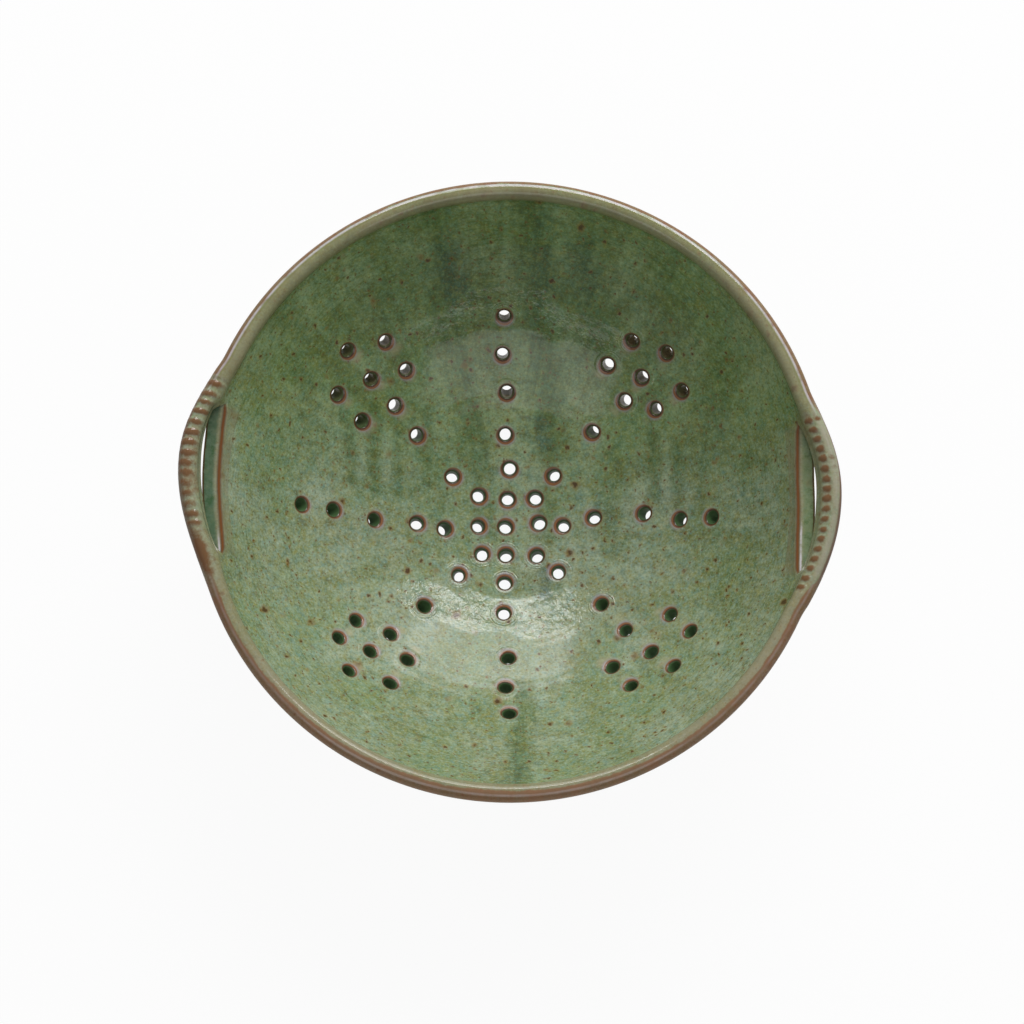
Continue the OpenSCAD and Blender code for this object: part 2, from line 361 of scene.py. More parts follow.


# Where the glaze ran, and on the far wall broad level bands of painted shade: (from x, from y, to x, to y,
# width, strength), seen from above
DARK_RUNS_AND_SHADE = [
    (-30, 80, 30, 80, 28, 0.36), (-18, 56, 26, 56, 24, 0.30), (-8, 20, 12, 20, 18, 0.18),
    (-27, 90, -21, 58, 9, 0.62), (-20, 62, -11, 18, 7, 0.55), (-11, 18, -7, -4, 5, 0.42),
    (4, 92, 9, 60, 10, 0.62), (9, 60, 13, 24, 7, 0.62), (13, 24, 11, -4, 5, 0.45),
    (22, 88, 28, 52, 9, 0.5), (-46, 78, -37, 44, 9, 0.42), (-37, 44, -32, 12, 7, 0.35),
    (50, 76, 44, 42, 11, 0.38), (68, 58, 62, 22, 11, 0.34), (-72, 52, -64, 22, 12, 0.3),
    (6, -58, 6, -92, 5, 0.5), (78, 12, 74, -30, 12, 0.3), (33, 22, 34, -8, 7, 0.34),
    (-24, 22, -23, -4, 5, 0.3), (44, 20, 66, -6, 12, 0.25), (2, -20, 14, -22, 7, 0.35),
    (-54, 30, -52, 10, 3.5, 0.5), (-46, 34, -45, 8, 3.5, 0.55), (-38, 30, -37, 8, 3, 0.5),
    (-29, 34, -28, 12, 3, 0.5), (46, 28, 47, 8, 3.5, 0.5), (54, 24, 55, 4, 3.5, 0.5),
    (62, 24, 62, 2, 3, 0.4), (-24, 70, 24, 70, 8, 0.45), (-54, 60, -50, 40, 20, 0.3),
    (58, 52, 50, 66, 16, 0.26), (-78, 20, -78, -24, 16, 0.24),
]
BLUE_RUNS = [
    (-23, 80, -20, 72, 7, 0.8), (8, 88, 9, 74, 7, 0.5), (20, 82, 22, 74, 7, 0.6),
    (9, 33, 10, 27, 3.5, 0.9), (4, 34, 4, 29, 3, 0.6), (12, -17, 12, -24, 3.5, 0.8),
    (58, 64, 52, 58, 6, 0.35), (-40, 78, -36, 66, 6, 0.3), (31, 6, 33, 0, 3, 0.4),
    (6, -88, 4, -92, 4, 0.5),
]
PALE_RUNS = [
    (-4, 84, -2, 30, 3.5, 0.5), (17, 60, 19, 40, 4, 0.4), (-30, -34, -8, -34, 7, 0.5),
    (10, -33, 34, -28, 7, 0.5), (-26, -48, 26, -48, 15, 0.4), (-76, -30, -56, -58, 18, 0.45),
    (-86, 4, -80, -24, 12, 0.35), (60, -46, 40, -70, 16, 0.3), (-30, -80, 30, -84, 12, 0.25),
    (-50, 30, -49, 12, 2, 0.6), (-42, 30, -41, 12, 2, 0.6), (-34, 30, -33, 12, 2, 0.5),
    (50, 26, 51, 8, 2, 0.5), (24, 50, 60, 30, 4, 0.4),
]
# Where fine throwing lines show through the glaze
LINES = [(-9, 84, -7, 76, 6, 0.9), (32, 82, 46, 76, 7, 0.5), (-46, -66, -24, -76, 6, 0.4)]
# Where the glaze dried in wrinkles before it was fired
WRINKLES = [
    (-30, -26, -10, -31, 6, 1.0), (-10, -31, 8, -33, 5, 0.8), (8, -33, 30, -25, 6, 1.0),
    (-26, -14, 26, -14, 8, 0.7), (-34, 56, -20, 62, 3.5, 1.0), (-20, 62, -13, 67, 4, 1.8),
    (-13, 67, -4, 70, 4, 1.8), (-4, 70, 8, 68, 4, 1.8), (8, 68, 13, 63, 4, 1.8),
    (13, 63, 32, 57, 3.5, 1.0), (-8, -46, 0, -44, 6, 0.7),
]


STROKES = {"dark": DARK_RUNS_AND_SHADE, "blue": BLUE_RUNS, "pale": PALE_RUNS, "wrinkle": WRINKLES, "lines": LINES}


def stroked(points, strokes):
    """How strongly each point is covered by soft strokes, from 0 to 1."""
    spots = points[:, :2]
    cover = np.zeros(len(spots))
    for x0, y0, x1, y1, width, strength in strokes:
        start, step = np.array([x0, y0]), np.array([x1 - x0, y1 - y0])
        share = np.clip(((spots - start) @ step) / (step @ step), 0, 1)
        gap = np.linalg.norm(spots - start - share[:, None] * step, axis=1)
        cover = np.maximum(cover, strength * np.exp(-((gap / width) ** 2)))
    return cover


# Meshes

# Values that the glaze is drawn from, as they are on plain wall outside: distance over the crest from its
# top, distance from a hole's axis, side of a hole (1 is down the slope), cream run, bead, place across the
# knife's cut (0 is its inner corner and 1 its outer one), and how far the knife freed the rim there
PLAIN = {"lip": 40.0, "mouth": 12.0, "fall": 0.0, "cream": 0.0, "bead": 0.0, "cut": 9.0, "knife": 0.0}
# Distance over the crest, as it is deep inside and on the face of the cut
DEEP_LIP = -40.0
FACE_LIP = -30.0


class Clay:
    """Points and faces of one closed piece, with the values that its glaze is drawn from."""

    def __init__(self):
        self.points, self.values, self.faces, self.count = [], [], [], 0

    def add(self, points, **given):
        """Adds points and returns their numbers. Each value is one number, or one for each point."""
        points = np.asarray(points, float).reshape(-1, 3)
        n = len(points)
        values = [np.broadcast_to(np.asarray(given.get(k, v), float).ravel(), n) for k, v in PLAIN.items()]
        self.points.append(points)
        self.values.append(np.stack(values, 1))
        self.count += n
        return np.arange(self.count - n, self.count)

    def strip(self, low, high, closed=False):
        """Quads between two rows of as many points."""
        n = len(low)
        for i in range(n if closed else n - 1):
            j = (i + 1) % n
            self.faces.append((low[i], low[j], high[j], high[i]))

    def rows(self, grid, closed=False):
        for low, high in zip(grid[:-1], grid[1:]):
            self.strip(low, high, closed)

    def made(self, name):
        """The piece as an object, smooth but for edges that turn by more than EDGE_TURN."""
        points = np.concatenate(self.points)
        values = np.concatenate(self.values)
        mesh = bpy.data.meshes.new(name)
        mesh.from_pydata((points * MM).tolist(), [], [tuple(int(i) for i in f) for f in self.faces])
        painted = dict(zip(PLAIN, values.T))
        for kind, strokes in STROKES.items():
            painted[kind] = stroked(points, strokes)
        for kind, amount in painted.items():
            mesh.attributes.new(kind, "FLOAT", "POINT").data.foreach_set("value", amount.astype(np.float32))
        shape = bmesh.new()
        shape.from_mesh(mesh)
        bmesh.ops.recalc_face_normals(shape, faces=shape.faces)
        shape.to_mesh(mesh)
        shape.free()
        mesh.shade_smooth()
        mesh.set_sharp_from_angle(angle=math.radians(EDGE_TURN))
        piece = bpy.data.objects.new(name, mesh)
        bpy.context.scene.collection.objects.link(piece)
        return piece


class Hole:
    """One drain hole, drilled square to the inner wall, with its own slight lean."""

    def __init__(self, number, place, out_lean):
        rng = np.random.default_rng(100 + number)
        lean = math.asin(np.linalg.norm(place) / IN_R)
        turn = math.atan2(place[1], place[0])
        out = np.array([math.cos(turn), math.sin(turn), 0])
        self.down = out * math.sin(lean) - np.array([0, 0, math.cos(lean)])
        self.fall = -(out * math.cos(lean) + np.array([0, 0, math.sin(lean)]))
        self.side = np.cross(self.down, self.fall)
        self.size = 1 + 0.05 * rng.uniform(-1, 1)
        self.lean = rng.uniform(-0.15, 0.15, 2) - np.array([out_lean, 0])
        self.oval = 0.04 * rng.uniform(-1, 1)
        self.oval_turn = rng.uniform(0, math.pi)
        self.middle = np.array([0, 0, IN_Z])

    def across(self, rho, t):
        """Sideways step from the hole's axis, for distances rho in directions t; 0 is down the slope."""
        rho = rho * (1 + self.oval * np.cos(2 * (t - self.oval_turn)) * ease((3.4 - rho) / 1.2))
        return rho[..., None] * (np.cos(t)[..., None] * self.fall + np.sin(t)[..., None] * self.side)

    def on_inner(self, rho, t):
        step = self.across(rho, t)
        reach = np.sqrt(IN_R**2 - (step**2).sum(-1))
        return self.middle + step + reach[..., None] * self.down

    def on_outer(self, rho, t):
        step = self.across(rho, t) + self.lean[0] * self.fall + self.lean[1] * self.side
        gap = self.middle + step - np.array([0, 0, OUT_Z])
        ahead = gap @ self.down
        reach = -ahead + np.sqrt(ahead**2 - (gap**2).sum(-1) + OUT_R**2)
        return self.middle + step + reach[..., None] * self.down


def chart_of(points, radius, middle):
    """Places of points on a ball, flattened: the way up the wall from the bottom, and the angle round."""
    x, y, z = points.T
    way = radius * np.arctan2(np.hypot(x, y), middle - z)
    a = np.arctan2(y, x)
    return way, a


def wall_grid(top, cell, offset):
    """Points of a wall in rings, as (way, angle), up to a top ring that the columns of the band share."""
    ways, angles = [np.array([0.0])], [np.array([0.0])]
    count = int(top / cell)
    for k in range(1, count):
        way = top * k / count
        n = min(COLUMNS, max(6, round(2 * math.pi * way / cell)))
        ways.append(np.full(n, way))
        angles.append(full_turn(n) + offset * k)
    ways.append(np.full(COLUMNS, top))
    angles.append(full_turn(COLUMNS))
    return np.concatenate(ways), np.concatenate(angles)


def drilled_wall(clay, inner, top_points, top_lip, cell, rings):
    """One side of the wall, triangulated round its holes. Gives the point numbers of its top ring and of
    each hole's loop."""
    radius, middle = (IN_R, IN_Z) if inner else (OUT_R, OUT_Z)
    top_way = chart_of(top_points, radius, middle)[0].mean()
    way, a = wall_grid(top_way, cell, 0.37)
    flat = laid_flat(way, a)
    t = full_turn(HOLE_SIDES)
    loops, spare, centres = [], [], []
    edge = HOLE_R + (MOUTH_SOFT if inner else BACK_SOFT)
    for hole in DRILLED:
        place = hole.on_inner if inner else hole.on_outer
        for k, rho in enumerate([edge] + rings):
            turned = t + (math.pi / HOLE_SIDES if k % 2 else 0)
            spot = place(rho * (hole.size if rho < 3 else 1), turned)
            ring = laid_flat(*chart_of(spot, radius, middle))
            (loops if k == 0 else spare).append(ring)
        centres.append(loops[-1].mean(0))
    centres = np.array(centres)
    clear = edge + 0.25
    for k, ring in enumerate(spare):
        mine = k // len(rings)
        others = np.delete(centres, mine, 0)
        gaps = np.linalg.norm(ring[:, None] - others[None], axis=2).min(1)
        own = np.linalg.norm(ring - centres[mine], axis=1)
        spare[k] = ring[gaps > np.maximum(own, clear)]
    near = np.linalg.norm(flat[:, None] - centres[None], axis=2).min(1)
    keep = (near > rings[-1] + 0.45 * cell) | (way > top_way - 0.01)
    inside = flat[keep & (way < top_way - 0.01)]
    ring = flat[way > top_way - 0.01]
    places = np.concatenate([ring, *loops, *spare, inside])
    n_top = len(ring)
    bounds = [(i, (i + 1) % n_top) for i in range(n_top)]
    for k in range(len(loops)):
        first = n_top + k * HOLE_SIDES
        bounds += [(first + i, first + (i + 1) % HOLE_SIDES) for i in range(HOLE_SIDES)]
    found = delaunay_2d_cdt([Vector(p) for p in places], bounds, [], 0, 1e-7)
    source = np.array([o[0] for o in found[3]])
    w = np.hypot(*places.T)
    b = np.arctan2(places[:, 1], places[:, 0])
    swing = w / radius
    from_axis = radius * np.sin(swing)
    points = np.stack([from_axis * np.cos(b), from_axis * np.sin(b), middle - radius * np.cos(swing)], 1)
    points[:n_top] = top_points
    offsets = places[:, None] - centres[None]
    gaps = np.linalg.norm(offsets, axis=2)
    nearest = gaps.argmin(1)
    mouth = gaps[np.arange(len(places)), nearest]
    down = -centres / np.maximum(np.linalg.norm(centres, axis=1), 1e-6)[:, None]
    fall = (offsets[np.arange(len(places)), nearest] * down[nearest]).sum(1) / np.maximum(mouth, 1e-6)
    if inner:
        mouth_line = n_top + HOLE_SIDES * len(loops)
        mouth[n_top:mouth_line] = edge
        ridge = 0.13 * bump_at(mouth, 3.75, 0.62)
        height = thrown(w, b) + ridge
        height[:n_top] = 0
        toward_middle = (np.array([0, 0, middle]) - points) / radius
        points = points + toward_middle * height[:, None]
        lip = np.where(w > top_way - 30, top_lip - (top_way - w), DEEP_LIP)
        cream = np.zeros(len(places))
        for number, centre in enumerate(centres):
            rng = np.random.default_rng(500 + number)
            rosette = number >= STAR_COUNT
            slope = -centre / max(np.linalg.norm(centre), 1e-6)
            cross = np.array([-slope[1], slope[0]])
            reach = rng.uniform(4.2, 6.0)
            spot = centre + slope * reach * 0.9 + cross * rng.uniform(-1.6, 1.6)
            gap = places - spot
            size = rng.uniform(1.4, 2.6) if rosette else rng.uniform(1.0, 1.8)
            amount = rng.uniform(0.5, 1.0) if rosette else rng.uniform(0.1, 0.5)
            shape = np.exp(-((gap @ slope / size) ** 2) - (gap @ cross / (size * 1.5)) ** 2)
            cream = np.maximum(cream, amount * shape)
    else:
        lip = np.where(w > top_way - 30, top_lip + (top_way - w), PLAIN["lip"])
        cream = 0.0
    numbers = clay.add(points, lip=lip, mouth=np.clip(mouth, 0, PLAIN["mouth"]), fall=fall, cream=cream)

    def loop_of(i):
        """Number of the hole whose loop a point is on, or -1."""
        return (i - n_top) // HOLE_SIDES if n_top <= i < n_top + HOLE_SIDES * len(loops) else -1

    for face in found[2]:
        tri = [int(source[i]) for i in face]
        own = {loop_of(i) for i in tri}
        if len(own) == 1 and -1 not in own:
            continue
        clay.faces.append(tuple(numbers[i] for i in tri))
    loop_numbers = [
        numbers[n_top + k * HOLE_SIDES : n_top + (k + 1) * HOLE_SIDES] for k in range(len(loops))
    ]
    return numbers[:n_top], loop_numbers


def drilled_bore(clay, hole, mouth_loop, back_loop):
    """The rounded mouth of a hole, its bore, and its rounded way out."""
    t = full_turn(HOLE_SIDES)
    points = np.concatenate(clay.points)
    start, end = points[mouth_loop], points[back_loop]
    plain = hole.on_inner((HOLE_R + MOUTH_SOFT) * hole.size, t)
    lift = ((start - plain) @ hole.down).mean()
    grid = [mouth_loop]
    bore_in, bore_out = hole.on_inner(HOLE_R * hole.size, t), hole.on_outer(HOLE_R * hole.size, t)
    for k in range(1, MOUTH_STEPS + 1):
        q = math.pi / 2 * k / MOUTH_STEPS
        rho = (HOLE_R + MOUTH_SOFT * (1 - math.sin(q))) * hole.size
        spot = hole.on_inner(rho, t) + (MOUTH_SOFT * (1 - math.cos(q)) + lift) * hole.down
        grid.append(clay.add(spot, lip=DEEP_LIP, mouth=rho / hole.size, fall=np.cos(t)))
    first = bore_in + (MOUTH_SOFT + lift) * hole.down
    last = bore_out - BACK_SOFT * hole.down
    for share in (0.12, 0.3, 0.55, 0.8, 1.0):
        spot = first + (last - first) * share
        deep = np.linalg.norm(last - first, axis=1).mean() * share
        grid.append(clay.add(spot, lip=DEEP_LIP, mouth=HOLE_R - deep, fall=np.cos(t)))
    middle = (last + end) / 2 + (bore_out - end) * 0.2
    grid.append(clay.add(middle, mouth=HOLE_R - 3, fall=np.cos(t)))
    grid.append(back_loop)
    clay.rows(grid, True)


def ring_points(outline, turns):
    """An outline of (r, z) swung to angles in radians: one row of points for each of its places."""
    r, z = outline[:, 0][:, None], outline[:, 1][:, None]
    return np.stack([r * np.cos(turns), r * np.sin(turns), np.broadcast_to(z, (len(r), len(turns)))], 2)


def cut_outline(turn):
    """The wall's outline under a strap: up the inside, across the knife's cut, and down the outside."""
    cut = CUT_Z - dip_at(turn)
    share = (cut - BAND_LOW_Z) / (CUT_Z - BAND_LOW_Z)
    rise = BAND_LOW_Z + (OUTLINE[: WALL_ROWS + 1, 1] - BAND_LOW_Z) * share
    drop = BAND_LOW_Z + (OUTLINE[-WALL_ROWS - 1 :, 1] - BAND_LOW_Z) * share
    in_r = ball_r(IN_R, IN_Z, rise) + (BAND[0, 0] - CUT_IN_R) * (rise > cut - 0.01)
    out_r = ball_r(OUT_R, OUT_Z, drop) + (BAND[-1, 0] - CUT_OUT_R) * (drop > cut - 0.01)
    inner, outer = np.stack([in_r, rise], 1), np.stack([out_r, drop], 1)
    freed = float(freed_at(turn))
    inner[:, 0] -= 0.85 * freed * np.linspace(0, 1, WALL_ROWS + 1) ** 2
    outer[:, 0] += 1.2 * freed * np.linspace(1, 0, WALL_ROWS + 1) ** 2
    step = np.linspace(0, 1, ACROSS_ROWS + 1)[1:-1, None]
    across = inner[-1] + (outer[0] - inner[-1]) * step
    sharp = np.concatenate([inner, across, outer])
    way = along(sharp)
    fine = sampled(sharp, np.arange(0, way[-1], FINE_STEP))
    soft = sampled(smoothed(fine, 9), way * along(smoothed(fine, 9))[-1] / way[-1])
    soft[0], soft[-1] = sharp[0], sharp[-1]
    return sharp + (soft - sharp) * ease(SLOT_REACH - abs(turn))


DRILLED = [Hole(k, place, lean) for k, (place, lean) in enumerate(zip(HOLES, LEANS))]


def bowl_piece():
    clay = Clay()
    turns = full_turn(COLUMNS)
    low_in = ring_points(OUTLINE[:1], turns)[0]
    low_out = ring_points(OUTLINE[-1:], turns)[0]
    in_top, in_loops = drilled_wall(clay, True, low_in, LIP_WAY[0], INNER_CELL, INNER_RINGS)
    out_top, out_loops = drilled_wall(clay, False, low_out, LIP_WAY[-1], OUTER_CELL, OUTER_RINGS)
    for hole, mouth_loop, back_loop in zip(DRILLED, in_loops, out_loops):
        drilled_bore(clay, hole, mouth_loop, back_loop)

    def handle_columns(middle):
        return [(middle + k) % COLUMNS for k in range(-REACH_COLUMNS, REACH_COLUMNS + 1)]

    handles = [handle_columns(0), handle_columns(COLUMNS // 2)]
    covered = set(handles[0]) | set(handles[1])
    inner_rows = {}
    outer_rows = {}
    across = {}
    for j in range(COLUMNS):
        under = j in covered
        if under:
            turn, _ = handle_turn(math.cos(turns[j]), math.sin(turns[j]))
            line = cut_outline(float(turn))
        else:
            line = np.concatenate([OUTLINE[: WALL_ROWS + 1], OUTLINE[-WALL_ROWS - 1 :]])
        body = ring_points(line, turns[j : j + 1])[:, 0]
        cut = np.full(len(body), PLAIN["cut"])
        knife = 0.0
        if under:
            way = along(line)
            start, end = way[WALL_ROWS], way[-WALL_ROWS - 1]
            cut = (way - start) / (end - start)
            knife = float(ease((SLOT_REACH + 0.4 - abs(turn)) / 1.4))
        rows = slice(1, WALL_ROWS + 1)
        inner = clay.add(body[rows], lip=LIP_WAY[rows], cut=cut[rows], knife=knife)
        rows = slice(-WALL_ROWS - 1, -1)
        outer = clay.add(body[rows], lip=LIP_WAY[rows], cut=cut[rows], knife=knife)
        inner_rows[j] = np.concatenate([[in_top[j]], inner])
        outer_rows[j] = np.concatenate([outer, [out_top[j]]])
        if under:
            rows = slice(WALL_ROWS + 1, -WALL_ROWS - 1)
            middle = clay.add(body[rows], lip=FACE_LIP, cut=cut[rows], knife=knife)
            across[j] = np.concatenate([inner[-1:], middle, outer[:1]])
    for j in range(COLUMNS):
        k = (j + 1) % COLUMNS
        clay.strip(inner_rows[j], inner_rows[k])
        clay.strip(outer_rows[j], outer_rows[k])
        if j in across and k in across:
            clay.strip(across[j], across[k])
    crest = {}
    for j in range(COLUMNS):
        if j in covered and j not in (handles[0][0], handles[0][-1], handles[1][0], handles[1][-1]):
            continue
        body = ring_points(BAND[1:-1], turns[j : j + 1])[:, 0]
        rows = clay.add(body, lip=BAND_WAY[1:-1])
        crest[j] = np.concatenate([inner_rows[j][-1:], rows, outer_rows[j][:1]])
    for j in range(COLUMNS):
        k = (j + 1) % COLUMNS
        if j in crest and k in crest and not (j in covered and k in covered):
            clay.strip(crest[j], crest[k])
    for columns in handles:
        for j in (columns[0], columns[-1]):
            clay.faces.append(tuple(np.concatenate([crest[j], across[j][-2:0:-1]])))
    points = np.concatenate(clay.points)
    clay.points = [hand_wobble(wall_pushed(points))]
    return clay.made("bowl_glazed")


def strap_piece(name, left):
    """A strap: the rim's outline swung from root to root, pushed out, freed underneath, beaded on top."""
    clay = Clay()
    turns = np.linspace(-HANDLE_REACH, HANDLE_REACH, STRAP_COLUMNS)
    step = np.linspace(1, 0, ACROSS_ROWS + 1)[1:-1, None]
    sharp = np.concatenate([BAND, BAND[0] + (BAND[-1] - BAND[0]) * step])
    closed = np.concatenate([sharp, sharp[:1]])
    way = along(closed)
    ring = sampled(closed, np.arange(0, way[-1], FINE_STEP))
    soft_ring = smoothed(ring, 10, True)
    ring_way = np.arange(len(ring)) * FINE_STEP
    soft = np.stack([np.interp(way[:-1], ring_way, soft_ring[:, k]) for k in range(2)], 1)
    below = np.linspace(1, 0, ACROSS_ROWS + 1)[1:-1]
    lip = np.concatenate([BAND_WAY, BAND_WAY[0] - 4 + (BAND_WAY[-1] - BAND_WAY[0] + 4) * below])
    place = np.arange(len(BAND)) / (len(BAND) - 1)
    rise_in = ease(place / 0.45)
    rise_out = ease((1 - place) / 0.2)
    crown = ease(np.clip((sharp[:, 1] - LIP_Z) / LIP_R, 0, 1) * 3)
    off = sharp[:, 0] - CREST_R
    zone = crown * (bump_at(off, 0.3, 3.1) if left else bump_at(off, -1.7, 1.15))
    lean = LEFT_BEAD_LEAN if left else RIGHT_BEAD_LEAN
    depth = LEFT_BEAD_DEPTH if left else RIGHT_BEAD_DEPTH
    rng = np.random.default_rng(7 if left else 8)
    uneven = rng.uniform(-1, 1, (3, BEAD_COUNT + 6))
    rows = []
    for turn in turns:
        outline = sharp + (soft - sharp) * float(ease(SLOT_REACH - abs(turn)))
        phase = (turn - lean) / BEAD_STEP + BEAD_COUNT / 2
        which = np.arange(BEAD_COUNT + 6)
        stray, spare, weight = (float(np.interp(phase + 2.5, which, line)) for line in uneven)
        phase += 0.12 * stray
        first, last = (1.2, BEAD_COUNT - 0.6) if left else (-0.5, BEAD_COUNT + 0.5)
        inside = float(ease(phase - first) * ease(last - phase))
        groove = abs(math.cos(math.pi * phase)) ** (2.4 + 0.7 * spare) * inside * (0.85 + 0.2 * weight)
        groove *= 1 - 0.5 * bump_at(turn, 2.0, 6.0) if left else 1
        arm = outline - np.array([CREST_R, LIP_Z])
        sunk = depth * groove * zone / np.maximum(np.linalg.norm(arm, axis=1), 0.5)
        outline = outline - arm * sunk[:, None]
        low_in, low_out = (float(v) for v in strap_push(turn, left))
        top = float(bulge_at(turn, left))
        in_push, out_push = low_in + (top - low_in) * rise_in, low_out + (top - low_out) * rise_out
        over = np.where(place < 0.5, in_push, out_push)
        push = np.concatenate([over, low_in + (low_out - low_in) * below])
        outline = outline + np.stack([push, 0 * push], 1)
        a = math.radians(turn + (180 if left else 0))
        body = ring_points(outline, np.array([a]))[:, 0]
        knife = float(ease((SLOT_REACH + 4 - abs(turn)) / 6))
        shade = 1.0
        if left:
            shade = (0.8 + 0.2 * weight) * (1 - 0.35 * bump_at(turn, 2.0, 6.0))
        outer = 0.8 * ease((turn - 12.5) / 2) + 0.5 * bump_at(turn, 6.5, 2.0)
        spread = zone if left else np.maximum(zone, outer * bump_at(off, 0.8, 1.7) * crown)
        bead = (1 - groove) * inside * spread * shade
        if left:
            worn = 0.6 * bump_at(turn, 14.0, 5.8) * bump_at(off, 0.9, 2.4) * crown
            bead = np.maximum(bead, worn)
        rows.append(clay.add(hand_wobble(body), lip=lip, bead=bead, knife=knife))
    clay.rows(rows, True)
    for row in (rows[0], rows[-1]):
        clay.faces.append(tuple(row))
    return clay.made(name)


def foot_piece():
    """The turned foot ring, whose top is worked a little way into the wall."""
    clay = Clay()
    turns = full_turn(FOOT_COLUMNS)
    corner = FOOT_BEVEL
    wide = 1.2
    seat_in = float(OUT_Z - ball_r(OUT_R, 0, FOOT_IN_R - wide))
    seat_out = float(OUT_Z - ball_r(OUT_R, 0, FOOT_OUT_R + wide))
    line = [
        (FOOT_IN_R - wide, seat_in + 0.25),
        (FOOT_IN_R - wide + 0.1, seat_in - 0.15),
        (FOOT_IN_R - 0.25, seat_in - 0.75),
        (FOOT_IN_R, seat_in - 1.9),
        (FOOT_IN_R, corner * 1.6),
        (FOOT_IN_R + 0.18, corner * 0.5),
        (FOOT_IN_R + corner, 0),
        (FOOT_OUT_R - FOOT_DRAFT - corner, 0),
        (FOOT_OUT_R - FOOT_DRAFT - 0.18, corner * 0.5),
        (FOOT_OUT_R - FOOT_DRAFT, corner * 1.6),
        (FOOT_OUT_R, seat_out - 3.2),
        (FOOT_OUT_R + 0.3, seat_out - 1.0),
        (FOOT_OUT_R + wide - 0.1, seat_out - 0.1),
        (FOOT_OUT_R + wide, seat_out + 0.35),
    ]
    line = np.array(line)
    soft = smoothed(sampled(line, np.arange(0, along(line)[-1], FINE_STEP)), 5)
    soft[:, 1] = np.maximum(soft[:, 1], 0)
    way = along(soft)
    side = sampled(soft, np.linspace(0, way[-1], 64))
    top_r = np.linspace(side[-1, 0], side[0, 0], 8)[1:-1]
    top = np.stack([top_r, OUT_Z - ball_r(OUT_R, 0, top_r) + 0.3], 1)
    outline = np.concatenate([side, top])
    points = ring_points(outline, turns)
    grid = [clay.add(row) for row in points]
    clay.rows(grid + grid[:1], True)
    return clay.made("foot_ring_turned")


bowl = bowl_piece()
left_strap = strap_piece("left_strap", True)
right_strap = strap_piece("right_strap", False)
foot = foot_piece()

for piece, node, finish in (
    (bowl, "bowl", "green_glaze"),
    (left_strap, "left_handle", "rim_glaze"),
    (right_strap, "right_handle", "rim_glaze"),
    (foot, "foot_ring", "bare_stoneware"),
):
    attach(piece, "root")
    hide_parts(node)

# Finishes


def srgb(red, green, blue):
    """A colour as it is read off a paint chart, 0 to 255, turned into the shader's own scale."""

    def line(v):
        v /= 255
        return v / 12.92 if v <= 0.04045 else ((v + 0.055) / 1.055) ** 2.4

    return (line(red), line(green), line(blue), 1.0)


class Val:
    """A socket whose value varies over a surface. Each operator on a number adds one Math node."""

    def __init__(self, finish, socket):
        self.finish, self.socket = finish, socket

    def _math(self, operation, *others, swap=False):
        parts = [self, *others]
        if swap:
            parts.reverse()
        return self.finish.node("ShaderNodeMath", {"operation": operation}, dict(enumerate(parts)))[0]

    def __add__(self, other):
        return self._math("ADD", other)

    def __sub__(self, other):
        return self._math("SUBTRACT", other)

    def __rsub__(self, other):
        return self._math("SUBTRACT", other, swap=True)

    def __mul__(self, other):
        return self._math("MULTIPLY", other)

    def __truediv__(self, other):
        return self._math("DIVIDE", other)

    def __rtruediv__(self, other):
        return self._math("DIVIDE", other, swap=True)

    def __pow__(self, other):
        return self._math("POWER", other)

    __radd__ = __add__
    __rmul__ = __mul__

    def at_least(self, low):
        return self._math("MAXIMUM", low)

    def at_most(self, high):
        return self._math("MINIMUM", high)

    def ramp(self, start, end, low=0.0, high=1.0):
        """Goes smoothly from low to high while this goes from start to end."""
        settings = {"interpolation_type": "SMOOTHSTEP"}
        sockets = {"Value": self, "From Min": start, "From Max": end, "To Min": low, "To Max": high}
        return self.finish.node("ShaderNodeMapRange", settings, sockets)["Result"]

    def hump(self, middle, width):
        """1 where this is at middle, and smoothly 0 beyond width on either side."""
        return self._math("SUBTRACT", middle)._math("ABSOLUTE").ramp(0, width, 1, 0)


class Made:
    """A node whose outputs are read by name or number."""

    def __init__(self, finish, node):
        self.finish, self.own = finish, node

    def __getitem__(self, name):
        return Val(self.finish, self.own.outputs[name])


